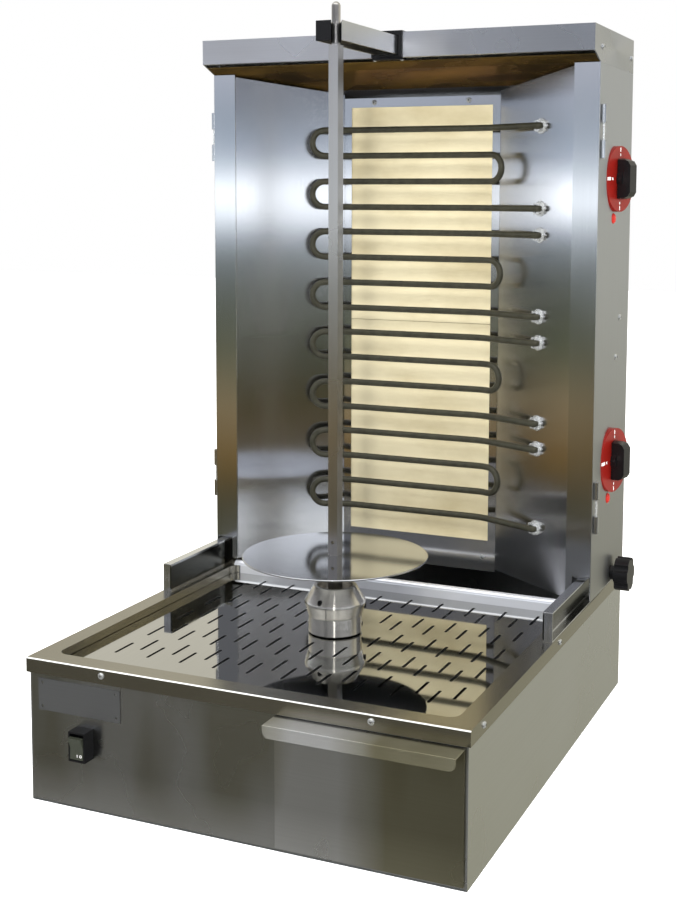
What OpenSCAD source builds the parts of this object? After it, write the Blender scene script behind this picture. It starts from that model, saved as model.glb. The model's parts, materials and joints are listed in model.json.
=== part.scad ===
// Electric vertical spit broiler: a fixed base with a driven chuck and skewer,
// and a heating tower that slides on two rails towards the spit.
// Millimetres. +X right, +Y to the back, +Z up.
// The origin is the centre of the underside of the base.

/* [Base] */
// Width of the base over its top surround
base_w = 500; // [480:5:520]
// Depth of the base, front to back
base_d = 610; // [600:5:640]
// Height of the rim above the resting surface
base_h = 157; // [157:1:160]
// Height of the skirt folded down from the rim
skirt_h = 16; // [14:1:17]
// Width of the side rims beside the well
rim_w = 22; // [21:1:23]
// Distance from the front of the base to the well
well_front = 24; // [20:1:28]
// Distance from the front of the base to the back of the well
well_back = 412; // [405:1:418]

/* [Spit] */
// Distance of the spit axis behind the front of the base
spit_back = 241; // [236:1:246]
// Side of the square skewer
bar_w = 12; // [10:1:12]
// Height of the tip of the skewer
tip_z = 859; // [856:1:865]
// Radius of the round meat plate
plate_r = 106.5; // [90:0.5:110]
// Height of the underside of the meat plate
plate_z = 235; // [230:1:240]

/* [Tower] */
// Half the width of the tower
tower_x = 255; // [254:0.5:257]
// Distance from the front of the base to the front of the tower
tower_front = 414; // [412:1:418]
// Distance from the front of the base to the back of the tower
tower_back_y = 580; // [575:1:585]
// Height at which the canopy starts
canopy_z = 801; // [798:1:804]
// Height of the top of the canopy
top_z = 842; // [840:1:845]
// Width of the front strips beside the opening
strip_w = 31; // [29:1:33]
// Distance from the front of the base to the reflector
reflector_y = 499; // [496:1:502]

/* [Heating elements] */
// Radius of the heating tube
tube_r = 4; // [3:0.25:4.25]
// Vertical distance between two passes of one element
pass_pitch = 33; // [31:0.5:34]
// Vertical distance between two elements
element_pitch = 131; // [128:0.5:133]
// Height of the top pass of the top element
top_pass_z = 731; // [725:1:735]

/* [Arm] */
// Width of the arm that holds the top of the skewer
arm_w = 30; // [28:1:32]
// Height of the arm
arm_h = 22; // [20:1:23]

/* [Hidden] */

$fn = 48;
small_fn = 24;
steel = "silver";
dark_steel = "dimgray";
black = "#1a1a1a";
eps = 0.01;

sheet = 1.5;
hem = 3;                                // folded double thickness of the skirt
half_w = base_w / 2;
body_x = half_w - hem;
front_y = -base_d / 2;
back_y = base_d / 2;
well_x = half_w - rim_w;
tray_top = base_h - 10;
drip_floor_z = 126;
plate_t = 2;
bead_r = 5.6;                           // rolled edge behind the well

function from_front(d) = front_y + d;
spit_y = from_front(spit_back);

// Drawer opening and pan
drawer_x0 = 46;
drawer_x1 = half_w - 6;
drawer_top = base_h - skirt_h - 2;
handle_d = 25;
lip_h = 13;
pan_x0 = 54;
pan_x1 = 240;
pan_z0 = 8.2;
pan_z1 = 108;
pan_d = 290;

// Main switch
switch_x = -178;
switch_z = 74;
switch_w = 20.5;
switch_h = 32;
switch_out = 13;                        // how far it stands in front of the base
rocker_rest = 9;                        // tilt of the rocker in its off position

// Drive
gear_module = 1.75;
gear_teeth = 40;
pinion_teeth = 14;
gear_r = gear_module * gear_teeth / 2;
pinion_r = gear_module * pinion_teeth / 2;
gear_distance = gear_r + pinion_r;
gear_z = 82;
gear_t = 10;
box_z0 = 74;
box_z1 = 108;
box_t = 3;
shaft_r = 8;
pinion_shaft_r = 4;

// Chuck profile heights
chuck_z0 = tray_top + 1.3;
chuck_top = 202;
chuck_r = 31;
flange_r = 35.3;
cone_screws = [-97, 143];               // angles of the screws through the cone
cone_screw_z = 188.3;
bevel_screw = 23;                       // angle of the screws on the right
bevel_screw_z = 177.5;
shaft_screw_z = 156;
spit_turn = -5;                         // turn of the square bar about its axis at rest

// Rails
rail_x0 = 238;
rail_x1 = 249.5;
rail_front = 271;
rail_back = 604;
rail_top = 191;

// Tower
tower_y0 = from_front(tower_front);
tower_y1 = from_front(tower_back_y);
tower_z0 = 165;
canopy_y0 = tower_y0 - 28;
lip_z = canopy_z + 11;
strip_x = tower_x - strip_w;
notch_x = 232;
notch_z = 195;
frame_x = 107;
frame_z0 = 163;
frame_z1 = 773;
window_x = 97;
window_z0 = 203;
window_z1 = 761;
board_seam = 484;
board_t = 12;
ref_y = from_front(reflector_y);
wing_dx = strip_x - frame_x;
wing_dy = ref_y - tower_y0 - sheet;
wing_len = sqrt(wing_dx * wing_dx + wing_dy * wing_dy);
wing_angle = atan2(wing_dy, wing_dx);
wing_t = 1.2;
ceiling_back_y = ref_y - 9;
ceiling_back_z = 783;

// Elements
terminal_s = 60.5;                      // distance of the terminals along the wing
terminal_x = strip_x - terminal_s * cos(wing_angle);
terminal_y = tower_y0 + sheet + terminal_s * sin(wing_angle);
element_y = ref_y - 22;
element_sides = 8;
washer_t = 1.2;

// Controls
control_y = from_front(491);
upper_z = 668;
lower_z = 324;
dial_r = 39.5;
dial_h = 7.6;                           // height of the dial face at its centre
dial_tilt = 10.5;                       // turn of the controls towards the front
neck_r = 5;
knob_h = 17;
knob_r = 24.5;
control_shaft_r = 3;
lamp_drop = 47.5;
lamp_r = 5.4;
clamp_y = from_front(514);
clamp_z = 176;

// Arm
arm_z0 = 815;
arm_z1 = arm_z0 + arm_h;
arm_y0 = spit_y - 21;
arm_y1 = from_front(465);
tip_r = 5;
slot_turn = 25;

// ---------- shared shapes ----------

// A box given by its two corners
module span(a, b) {
    translate(a) cube(b - a);
}

// A cylinder along X, Y or Z
module rod_x(x0, x1, r, y = 0, z = 0) {
    translate([x0, y, z]) rotate([0, 90, 0]) cylinder(h = x1 - x0, r = r);
}
module rod_y(y0, y1, r, x = 0, z = 0) {
    translate([x, y0, z]) rotate([-90, 0, 0]) cylinder(h = y1 - y0, r = r);
}
module rod_z(z0, z1, r, x = 0, y = 0) {
    translate([x, y, z0]) cylinder(h = z1 - z0, r = r);
}

// A pan head screw with its head's underside at the origin, head along +Z
module pan_screw(head_r, shank_r, shank) {
    rotate_extrude($fn = small_fn)
        polygon([[0, -shank], [shank_r, -shank], [shank_r, 0], [head_r, 0], [head_r, head_r * 0.25],
                 [head_r * 0.7, head_r * 0.55], [0, head_r * 0.65]]);
}

// A rounded rectangle on the XY plane
module rounded_rect(x0, y0, x1, y1, r) {
    translate([x0 + r, y0]) square([x1 - x0 - 2 * r, y1 - y0]);
    translate([x0, y0 + r]) square([x1 - x0, y1 - y0 - 2 * r]);
    for (x = [x0 + r, x1 - r], y = [y0 + r, y1 - r])
        translate([x, y]) circle(r = r, $fn = small_fn);
}

// A slot on the XY plane, along Y
module slot_2d(len, w) {
    translate([-w / 2, w / 2]) square([w, len - w]);
    for (y = [w / 2, len - w / 2])
        translate([0, y]) circle(r = w / 2, $fn = 16);
}

// A spur gear's outline, with thin straight-sided teeth
module gear_2d(teeth, m) {
    r = m * teeth / 2;
    root = r - 1.25 * m;
    tip = r + 0.9 * m;
    a = 360 / teeth;
    polygon([for (i = [0 : teeth - 1], p = [[-0.34, root], [-0.19, r], [-0.10, tip],
                                            [0.10, tip], [0.19, r], [0.34, root]])
        let (t = (i + p[0]) * a) [p[1] * cos(t), p[1] * sin(t)]]);
}

// ---------- base ----------

module base_shell() {
    color(steel) difference() {
        span([-body_x, from_front(hem), 0], [body_x, back_y - hem, base_h - 2]);
        span([-body_x + sheet, from_front(0), -1],
             [body_x - sheet, back_y - hem - sheet, base_h]);
        for (i = [0 : 5])
            translate([60 + i * 22, back_y - hem + 1, 30]) rotate([90, 0, 0])
                linear_extrude(6) slot_2d(50, 6);
        rod_y(back_y - 10, back_y + 1, 8, -180, 40);
        at_surround_screws() screw_hole(1.9, hem + sheet);
    }
}

module front_panel() {
    y0 = from_front(hem);
    color(steel) difference() {
        span([-body_x + sheet, y0, 2], [body_x - sheet, y0 + sheet, base_h - 2]);
        span([drawer_x0 + 2, y0 - 1, 6], [drawer_x1 - 2, y0 + sheet + 1, drawer_top - 3]);
        span([switch_x - 9.2, y0 - 1, switch_z - 13.2],
             [switch_x + 9.2, y0 + sheet + 1, switch_z + 13.2]);
        at_surround_screws() screw_hole(1.9, hem + sheet);
    }
}

module base_bottom() {
    color(dark_steel) difference() {
        span([-body_x + sheet, from_front(hem), 0], [body_x - sheet, back_y - hem - sheet, 2]);
        for (i = [0 : 7])
            translate([-200 + i * 20, 120, -1]) linear_extrude(4) slot_2d(80, 6);
    }
}

// Places its children at the screws round the skirt, +Z outwards
module at_surround_screws() {
    z = base_h - skirt_h / 2 + 1;
    for (x = [-155, 150])
        translate([x, front_y, z]) rotate([90, 0, 0]) children();
    for (s = [-1, 1], d = [37, 300, 570])
        translate([s * half_w, from_front(d), z]) rotate([0, s * 90, 0]) children();
    for (x = [-170, 170])
        translate([x, back_y, z]) rotate([-90, 0, 0]) children();
}

// Hole for a screw whose head stands at the origin
module screw_hole(r, depth) {
    translate([0, 0, -depth - 1]) cylinder(h = depth + 2, r = r, $fn = small_fn);
}

// Rim plate with the well, the hemmed skirt, the well's walls and ledge and its rolled back edge
module top_surround() {
    color(steel) {
        difference() {
            span([-half_w, front_y, base_h - skirt_h], [half_w, back_y, base_h]);
            span([-body_x, from_front(hem), base_h - skirt_h - 1],
                 [body_x, back_y - hem, base_h - 2]);
            translate([0, 0, base_h - 3]) linear_extrude(4)
                rounded_rect(-well_x, from_front(well_front), well_x, from_front(well_back), 12);
            span([-well_x, from_front(well_back + 12), base_h - 3],
                 [well_x, back_y - 20, base_h + 1]);
            at_surround_screws() screw_hole(1.9, hem + sheet);
        }
        rod_x(-well_x - 4, well_x + 4, bead_r, from_front(well_back + 6.2), base_h - 0.5);
        translate([0, 0, drip_floor_z]) linear_extrude(base_h - 2 - drip_floor_z) difference() {
            rounded_rect(-well_x - sheet, from_front(well_front - sheet),
                         well_x + sheet, from_front(well_back + sheet), 13.5);
            rounded_rect(-well_x, from_front(well_front), well_x, from_front(well_back), 12);
        }
        translate([0, 0, tray_top - 3]) linear_extrude(1.5) difference() {
            rounded_rect(-well_x - 0.5, from_front(well_front - 0.5),
                         well_x + 0.5, from_front(well_back + 0.5), 12);
            rounded_rect(-well_x + 9, from_front(well_front + 9),
                         well_x - 9, from_front(well_back - 9), 6);
        }
    }
}

module drip_floor() {
    color(dark_steel) difference() {
        union() {
            span([-well_x - 6, from_front(well_front - 6), drip_floor_z - sheet],
                 [well_x + 6, from_front(well_back + 6), drip_floor_z]);
            rod_z(drip_floor_z - sheet, drip_floor_z + 8, 15, 0, spit_y);
        }
        rod_z(drip_floor_z - 10, drip_floor_z + 20, 13.2, 0, spit_y);
        span([80, from_front(40), drip_floor_z - 5], [200, from_front(190), drip_floor_z + 5]);
    }
}

slot_pitch = 20.4;
slot_len = 36;
slot_row = 65;
slot_w = 3.4;
slot_x0 = -5;

function slot_near_spit(x, y) =
    abs(x) < chuck_r + 9.5 && abs(y + slot_len / 2 - spit_y) < chuck_r + slot_len / 2 + 5.5;

module slotted_tray() {
    color("gainsboro") difference() {
        translate([0, 0, tray_top - sheet]) linear_extrude(sheet)
            rounded_rect(-well_x + 1, from_front(well_front + 1),
                         well_x - 1, from_front(well_back - 1), 11);
        for (k = [-9 : 10], j = [0 : 4])
            let (x = slot_x0 + k * slot_pitch,
                 y = from_front(75 + j * slot_row + (abs(k) % 2 == 0 ? 19 : 0)))
                if (!slot_near_spit(x, y))
                    translate([x, y, tray_top - 3]) linear_extrude(5) slot_2d(slot_len, slot_w);
        rod_z(tray_top - 5, tray_top + 5, 15.5, 0, spit_y);
    }
}

// C-section rail, open outwards; side is 1 for right and -1 for left
module rail(side) {
    y0 = from_front(rail_front);
    y1 = from_front(rail_back);
    color(steel) mirror([side < 0 ? 1 : 0, 0, 0]) difference() {
        span([rail_x0, y0, base_h], [rail_x1, y1, rail_top]);
        span([rail_x0 + sheet, y0 + sheet, base_h + sheet],
             [rail_x1 + 1, y1 + 1, rail_top - sheet]);
    }
}

module surround_screws() {
    color("white") at_surround_screws() pan_screw(3.5, 1.9, hem + sheet);
}

module drawer_runners() {
    color(dark_steel) for (m = [0, 1])
        translate([m ? pan_x0 + pan_x1 : 0, 0, 0]) mirror([m, 0, 0]) difference() {
            span([pan_x0 - 3, from_front(8), 2], [pan_x0 + 12, from_front(330), 24]);
            span([pan_x0 - 1.5, from_front(0), pan_z0 - 0.4], [pan_x0 + 20, from_front(400), 30]);
        }
}

module name_plate() {
    y = from_front(hem);
    color("darkgray") difference() {
        span([-236, y - 1, 101.5], [-134, y, 136]);
        for (x = [-231, -139], z = [106, 131.5])
            rod_y(y - 2, y + 1, 1.6, x, z, $fn = small_fn);
    }
}

module switch_housing() {
    y0 = from_front(-switch_out);
    y1 = from_front(hem);
    color(black) difference() {
        union() {
            span([switch_x - switch_w / 2, y0, switch_z - switch_h / 2],
                 [switch_x + switch_w / 2, y1, switch_z + switch_h / 2]);
            span([switch_x - 9, y1 - 1, switch_z - 13], [switch_x + 9, y1 + 24, switch_z + 13]);
        }
        span([switch_x - 8.4, y0 - 1, switch_z - 14], [switch_x + 8.4, y0 + 13, switch_z + 14]);
        rod_x(switch_x - 9.5, switch_x + 9.5, 1.56, y0 + 6, switch_z);
    }
}

// Rocker cap, tilted about its own pivot; the front is a shallow V
module switch_rocker() {
    pivot_y = from_front(-switch_out + 6);
    color(black) translate([switch_x - 8, pivot_y, switch_z]) rotate([rocker_rest, 0, 0])
        rotate([90, 0, 90]) linear_extrude(16)
            polygon([[-8.5, -11.8], [-6, 0], [-8.5, 11.8], [-4, 11.8], [4, 2.5], [4, -2.5],
                     [-4, -11.8]]);
    color(black) rod_x(switch_x - 9.3, switch_x + 9.3, 1.5, pivot_y, switch_z);
}

module cable_gland() {
    y = back_y - hem;
    color(black) difference() {
        union() {
            rod_y(y - 14, y + 4, 8, -180, 40);
            rod_y(y, y + 5, 12, -180, 40, $fn = 6);
            rod_y(y + 5, y + 14, 10, -180, 40);
        }
        rod_y(y - 20, y + 20, 5, -180, 40);
    }
}

// ---------- drive ----------

module gearbox_outline(grow) {
    translate([0, spit_y]) circle(r = gear_r + 3 + grow);
    translate([-gear_distance, spit_y]) circle(r = pinion_r + 12 + grow);
    translate([-gear_distance, spit_y - pinion_r - 12 - grow])
        square([gear_distance, 2 * (pinion_r + 12 + grow)]);
}

module gearbox_housing() {
    color("darkgray") difference() {
        translate([0, 0, box_z0]) linear_extrude(box_z1 - box_z0 - 3) gearbox_outline(box_t);
        translate([0, 0, box_z0 + 3]) linear_extrude(box_z1) gearbox_outline(0);
        rod_z(box_z0 - 1, box_z0 + 4, shaft_r + 0.06, 0, spit_y);
        rod_z(box_z0 - 1, box_z0 + 4, pinion_shaft_r + 0.06, -gear_distance, spit_y);
    }
}

module gearbox_cover() {
    color("darkgray") difference() {
        union() {
            translate([0, 0, box_z1 - 3]) linear_extrude(3) gearbox_outline(box_t);
            rod_z(box_z1 - 3, box_z1 + 5, 18, 0, spit_y);
        }
        rod_z(box_z1 - 5, box_z1 + 10, 13, 0, spit_y);
    }
}

module motor() {
    x = -gear_distance;
    color("gray") {
        difference() {
            union() {
                rod_z(12, 68, 29, x, spit_y);
                rod_z(68, box_z0, 20, x, spit_y);
            }
            rod_z(60, box_z0 + 1, pinion_shaft_r + 0.06, x, spit_y);
        }
        rod_z(8, 12, 12, x, spit_y);
    }
}

module drive_pinion() {
    color("darkgoldenrod") translate([-gear_distance, spit_y, 0]) {
        translate([0, 0, gear_z - 1]) linear_extrude(gear_t + 2)
            rotate([0, 0, 180 / pinion_teeth]) gear_2d(pinion_teeth, gear_module);
        rod_z(62, box_z1 - 5, pinion_shaft_r);
    }
}

module drive_gear() {
    color("goldenrod") translate([0, spit_y, 0]) difference() {
        union() {
            translate([0, 0, gear_z]) linear_extrude(gear_t)
                gear_2d(gear_teeth, gear_module);
            rod_z(gear_z, gear_z + gear_t + 6, 14);
        }
        rod_z(gear_z - 1, gear_z + gear_t + 8, shaft_r);
    }
}

module output_shaft() {
    color(dark_steel) rod_z(box_z0 - 2, chuck_z0 + 18, shaft_r, 0, spit_y);
}

module shaft_bush() {
    color("darkgoldenrod") difference() {
        rod_z(box_z1 - 3, box_z1 + 16, 13, 0, spit_y);
        rod_z(box_z1 - 5, box_z1 + 20, shaft_r + 0.06, 0, spit_y);
    }
}

module shaft_seal() {
    color(black) difference() {
        rod_z(drip_floor_z + 0.5, drip_floor_z + 8, 13.2, 0, spit_y);
        rod_z(drip_floor_z - 1, drip_floor_z + 10, shaft_r + 0.08, 0, spit_y);
    }
}

// Bridge under the gearbox, standing on the bottom plate
module motor_bracket() {
    color(dark_steel) difference() {
        span([-96, spit_y - 44, 2], [42, spit_y + 44, box_z0]);
        span([-94, spit_y - 50, 1], [40, spit_y + 50, box_z0 - 2]);
        rod_z(box_z0 - 5, box_z0 + 1, 30, -gear_distance, spit_y);
        rod_z(box_z0 - 5, box_z0 + 1, 12, 0, spit_y);
        span([-58, spit_y - 30, box_z0 - 5], [-40, spit_y + 30, box_z0 + 1]);
    }
}

// ---------- spit ----------

module chuck() {
    color(steel) translate([0, spit_y, 0]) difference() {
        rotate_extrude(convexity = 4)
            polygon([[0, chuck_z0], [chuck_r - 1, chuck_z0], [chuck_r, chuck_z0 + 1],
                     [chuck_r, 168], [31.6, 169], [34.7, 180], [flange_r, 181.5],
                     [flange_r, 184], [34.7, 185.6], [25.5, chuck_top - 1],
                     [24.5, chuck_top], [0, chuck_top]]);
        rod_z(chuck_z0 - 1, chuck_z0 + 18, shaft_r);
        rotate([0, 0, spit_turn])
            span([-bar_w / 2, -bar_w / 2, chuck_z0 + 18], [bar_w / 2, bar_w / 2, chuck_top + 1]);
        rod_z(chuck_top - 9, chuck_top + 1, 20.5);
        for (a = cone_screws)
            rotate([0, 0, a]) rod_x(2, 40, 3, 0, cone_screw_z, $fn = small_fn);
        rotate([0, 0, bevel_screw]) {
            rod_x(2, 40, 3, 0, bevel_screw_z, $fn = small_fn);
            rod_x(7.5, 40, 2.5, 0, shaft_screw_z, $fn = small_fn);
        }
    }
}

module set_screw(r, z) {
    difference() {
        rod_x(9.5, r, 3, 0, z, $fn = small_fn);
        translate([r - 3, 0, z]) rotate([0, 90, 0]) cylinder(h = 5, r = 1.6, $fn = 6);
    }
}
module chuck_screws() {
    color(black) translate([0, spit_y, 0]) {
        for (a = cone_screws)
            rotate([0, 0, a]) set_screw(flange_r - 2.3, cone_screw_z);
        rotate([0, 0, bevel_screw]) {
            set_screw(flange_r + 0.4, bevel_screw_z);
            rod_x(8.1, chuck_r + 0.8, 2.5, 0, shaft_screw_z, $fn = small_fn);
        }
    }
}

// Square bar with a round top end
module skewer() {
    color(steel) translate([0, spit_y, 0]) rotate([0, 0, spit_turn]) difference() {
        union() {
            span([-bar_w / 2, -bar_w / 2, chuck_z0 + 18.5], [bar_w / 2, bar_w / 2, 812]);
            rotate_extrude($fn = 32)
                polygon([[0, 811], [tip_r, 811], [tip_r, tip_z - 4], [tip_r - 1, tip_z - 1.6],
                         [tip_r - 3, tip_z], [0, tip_z]]);
        }
        for (z = [224, 252])
            rod_y(-10, 10, 2, 0, z, $fn = small_fn);
        rod_x(-10, 10, 2, 0, plate_z - 2.05, $fn = small_fn);
    }
}

module meat_plate() {
    color("gainsboro") translate([0, spit_y, 0]) difference() {
        rotate_extrude($fn = 96)
            polygon([[0, plate_z], [plate_r - 0.6, plate_z], [plate_r, plate_z + 0.6],
                     [plate_r, plate_z + 1.4], [plate_r - 0.6, plate_z + plate_t],
                     [0, plate_z + plate_t]]);
        rotate([0, 0, spit_turn])
            span([-bar_w / 2 - 0.2, -bar_w / 2 - 0.2, plate_z - 1],
                 [bar_w / 2 + 0.2, bar_w / 2 + 0.2, plate_z + 5]);
    }
}

module plate_pin() {
    color(dark_steel) translate([0, spit_y, 0]) rotate([0, 0, spit_turn])
        rod_x(-11, 11, 2, 0, plate_z - 2.05, $fn = small_fn);
}

// ---------- drawer ----------

// Front sheet whose top edge is bent forward and down as a handle
module drawer_front() {
    y0 = front_y + 0.5;
    color(steel) {
        span([drawer_x0, y0, 4], [drawer_x1, y0 + 2, drawer_top]);
        span([drawer_x0, front_y - handle_d, drawer_top - 2], [drawer_x1, y0 + 2, drawer_top]);
        translate([0, front_y - handle_d + 2, 0]) rotate([90, 0, 0]) linear_extrude(2)
            difference() {
                rounded_rect(drawer_x0, drawer_top - lip_h, drawer_x1, drawer_top + 8, 7);
                translate([drawer_x0 - 1, drawer_top]) square([300, 20]);
            }
    }
}

module grease_pan() {
    y0 = front_y + 2.5;
    color("gainsboro") difference() {
        span([pan_x0, y0, pan_z0], [pan_x1, y0 + pan_d, pan_z1]);
        span([pan_x0 + sheet, y0 + sheet, pan_z0 + sheet],
             [pan_x1 - sheet, y0 + pan_d - sheet, pan_z1 + 1]);
    }
}

// ---------- tower ----------

// Side sheet with its front strip and the runner that rides over the rail
module side_panel(side) {
    color(steel) mirror([side < 0 ? 1 : 0, 0, 0]) difference() {
        union() {
            span([tower_x - sheet, tower_y0, tower_z0], [tower_x, tower_y1, canopy_z]);
            span([strip_x, tower_y0, tower_z0], [tower_x, tower_y0 + sheet, canopy_z]);
            span([notch_x, tower_y0 + 4, rail_top + 0.4],
                 [tower_x, tower_y1 - 4, rail_top + 0.4 + sheet]);
        }
        span([notch_x, tower_y0 - 1, tower_z0 - 1],
             [tower_x - sheet, tower_y0 + sheet + 1, rail_top + 3.5]);
        if (side > 0) {
            rod_x(tower_x - 5, tower_x + 1, 4.06, clamp_y, clamp_z);
            at_side_screws() screw_hole(2, sheet);
            for (z = [upper_z, lower_z]) {
                rod_x(tower_x - 5, tower_x + 1, neck_r + 1, control_y, z);
                rod_x(tower_x - 5, tower_x + 1, lamp_r + 0.1, from_front(488), z - lamp_drop);
            }
        }
    }
}

module tower_back() {
    color(steel) difference() {
        span([-tower_x + sheet, tower_y1 - sheet, tower_z0],
             [tower_x - sheet, tower_y1, canopy_z]);
        for (x = [-180 : 24 : 180], z = [230, 660])
            translate([x, tower_y1 + 1, z]) rotate([90, 0, 0]) linear_extrude(4) slot_2d(80, 7);
        for (x = [-tower_x, notch_x])
            span([x, tower_y1 - 5, tower_z0 - 1],
                 [x + tower_x - notch_x, tower_y1 + 1, notch_z]);
    }
}

canopy_outline = [[canopy_y0, lip_z], [canopy_y0, top_z], [tower_y1, top_z],
                  [tower_y1, canopy_z], [tower_y0, canopy_z]];
canopy_hollow = [[canopy_y0 + sheet, lip_z - 20], [canopy_y0 + sheet, top_z - sheet],
                 [tower_y1 - sheet, top_z - sheet], [tower_y1 - sheet, lip_z - 20]];

// Extrudes a YZ outline along X, centred
module profile_x(points, width) {
    translate([-width / 2, 0, 0]) rotate([90, 0, 90]) linear_extrude(width) polygon(points);
}

module canopy() {
    color(steel) difference() {
        union() {
            difference() {
                profile_x(canopy_outline, 2 * tower_x);
                profile_x(canopy_hollow, 2 * (tower_x - sheet));
            }
            span([-tower_x + 1, canopy_y0, lip_z], [tower_x - 1, canopy_y0 + 12, lip_z + sheet]);
        }
        span([-20, canopy_y0 - 1, lip_z - 1], [20, canopy_y0 + 14, top_z + 1]);
        at_canopy_screws() screw_hole(1.9, sheet);
    }
}

module ceiling_plate() {
    color("#4a3a22") profile_x(
        [[canopy_y0 + 13, lip_z - 4.4], [canopy_y0 + 13, lip_z - 2.9],
         [tower_y0 + 2, canopy_z + 1.6], [ceiling_back_y, ceiling_back_z + sheet],
         [ceiling_back_y, ceiling_back_z], [tower_y0 + 2, canopy_z + 0.1]],
        2 * (tower_x - sheet));
}

module at_canopy_screws() {
    z = (canopy_z + top_z) / 2 - 2.5;
    for (s = [-1, 1], d = [422, 569])
        translate([s * tower_x, from_front(d), z]) rotate([0, s * 90, 0]) children();
}

module at_bush_screws() {
    for (x = [-17.7, 17.7])
        translate([x, canopy_y0 + 5, lip_z - 2.6]) rotate([180, 0, 0]) children();
}

module canopy_screws() {
    color("white") {
        at_canopy_screws() pan_screw(3.5, 1.9, sheet);
        at_bush_screws() pan_screw(2.2, 1.2, 2.4);
    }
}

module reflector_frame() {
    color(steel) difference() {
        span([-frame_x, ref_y, frame_z0], [frame_x, ref_y + sheet, frame_z1]);
        span([-window_x, ref_y - 1, window_z0], [window_x, ref_y + sheet + 1, window_z1]);
        at_frame_screws() screw_hole(1.6, sheet);
    }
}

module at_frame_screws() {
    for (x = [-65, 65])
        translate([x, ref_y, frame_z1 - 5.5]) rotate([90, 0, 0]) children();
    for (x = [-90, 90])
        translate([x, ref_y, frame_z0 + 18]) rotate([90, 0, 0]) children();
}

module frame_screws() {
    color("white") at_frame_screws() pan_screw(3.2, 1.6, sheet);
}

module ceramic_board(z0, z1) {
    color("#e0d4a8")
        span([-window_x - 6, ref_y + sheet, z0], [window_x + 6, ref_y + sheet + board_t, z1]);
}

// Angled reflector from a front strip to the back frame; the right one holds the terminals
module wing(side) {
    slope = (canopy_z - ceiling_back_z) / (ceiling_back_y - tower_y0);
    z_back = canopy_z - 3 - wing_dy * slope;
    color(steel) mirror([side < 0 ? 1 : 0, 0, 0])
        translate([strip_x, tower_y0 + sheet, 0]) rotate([0, 0, 180 - wing_angle])
            rotate([90, 0, 0]) difference() {
                linear_extrude(wing_t)
                    polygon([[0, tower_z0 + 1], [wing_len, tower_z0 + 1], [wing_len, z_back],
                             [0, canopy_z - 3]]);
                if (side > 0)
                    for (z = terminal_zs)
                        translate([terminal_s, z, -1]) cylinder(h = 5, r = tube_r + 0.6);
            }
}

terminal_zs = [for (e = [0 : 3], p = [0, 3]) top_pass_z - e * element_pitch - p * pass_pitch];

// Two outer knuckles on a short leaf; the middle knuckle belongs to a door that is not fitted
hinge_zs = [247, 691];
knuckle_h = 21;
hinge_gap = 20;
knuckle_x = tower_x + 3.4;
knuckle_y = tower_y0 + 6;

module hinge_brackets() {
    color(steel) for (s = [0, 1]) mirror([s, 0, 0])
        for (z = hinge_zs, k = [0, knuckle_h + hinge_gap])
            translate([0, 0, z + k]) difference() {
                union() {
                    rod_z(0, knuckle_h, 3.2, knuckle_x, knuckle_y, $fn = small_fn);
                    span([tower_x, knuckle_y, 0], [tower_x + 1.4, knuckle_y + 12, knuckle_h]);
                }
                rod_z(-1, knuckle_h + 1, 1.5, knuckle_x, knuckle_y, $fn = small_fn);
            }
}

module hinge_pins() {
    color(steel) for (s = [-1, 1], z = hinge_zs)
        rod_z(z + 1, z + 2 * knuckle_h + hinge_gap - 1, 1.5, s * knuckle_x, knuckle_y,
              $fn = small_fn);
}

// ---------- heating elements ----------

// Plan of an element: distance along it to a point on the XY plane, left end first
plan = [[-135, ref_y - 40], [-92, element_y], [95, element_y], [120, ref_y - 33]];
terminal_in = [terminal_x - 12 * sin(wing_angle), terminal_y - 12 * cos(wing_angle)];
terminal_out = [terminal_x + 16 * sin(wing_angle), terminal_y + 16 * cos(wing_angle)];
bend_r = pass_pitch / 2;

function mix(a, b, t) = a + (b - a) * t;
function unit(v) = v / norm(v);

left_dir = unit(plan[0] - plan[1]);
right_dir = unit(plan[3] - plan[2]);
left_start = plan[0] - left_dir * bend_r;
right_start = plan[3] - right_dir * bend_r;
bend_steps = 6;

function at(p, z) = [p[0], p[1], z];

// Half circle from height z_from to z_to that bulges along dir
function bend(start, dir, z_from, z_to) =
    [for (i = [0 : bend_steps])
        let (a = 180 * i / bend_steps, mid = (z_from + z_to) / 2, h = (z_from - z_to) / 2)
            at(start + dir * bend_r * sin(a), mid + h * cos(a))];

// Centre line from the top terminal to the bottom one
function element_path(z) = concat(
    [at(terminal_out, z), at(terminal_in, z), at(plan[2], z), at(plan[1], z)],
    bend(left_start, left_dir, z, z - pass_pitch),
    [at(plan[1], z - pass_pitch), at(plan[2], z - pass_pitch)],
    bend(right_start, right_dir, z - pass_pitch, z - 2 * pass_pitch),
    [at(plan[2], z - 2 * pass_pitch), at(plan[1], z - 2 * pass_pitch)],
    bend(left_start, left_dir, z - 2 * pass_pitch, z - 3 * pass_pitch),
    [at(plan[1], z - 3 * pass_pitch), at(plan[2], z - 3 * pass_pitch),
     at(terminal_in, z - 3 * pass_pitch), at(terminal_out, z - 3 * pass_pitch)]);

// Normal of the sheet that the serpentine lies in at a point: horizontal, square to the run
function run_dir(p, i) =
    let (n = len(p), a = p[max(0, i - 1)], b = p[min(n - 1, i + 1)]) unit(b - a);
function side_dir(p, i) =
    let (t = run_dir(p, i), flat = norm([t[0], t[1]]) > 0.02
         ? unit([t[0], t[1], 0])
         : unit([p[i][0] > 0 ? right_dir[0] : left_dir[0],
                 p[i][0] > 0 ? right_dir[1] : left_dir[1], 0]),
         turned = [-flat[1], flat[0], 0])
    turned[1] > 0 ? turned : -turned;
function ring(p, i) =
    let (t = run_dir(p, i), u = side_dir(p, i), v = cross(t, u))
    [for (k = [0 : element_sides - 1])
        let (a = 360 * k / element_sides) p[i] + tube_r * (u * cos(a) + v * sin(a))];

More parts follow.
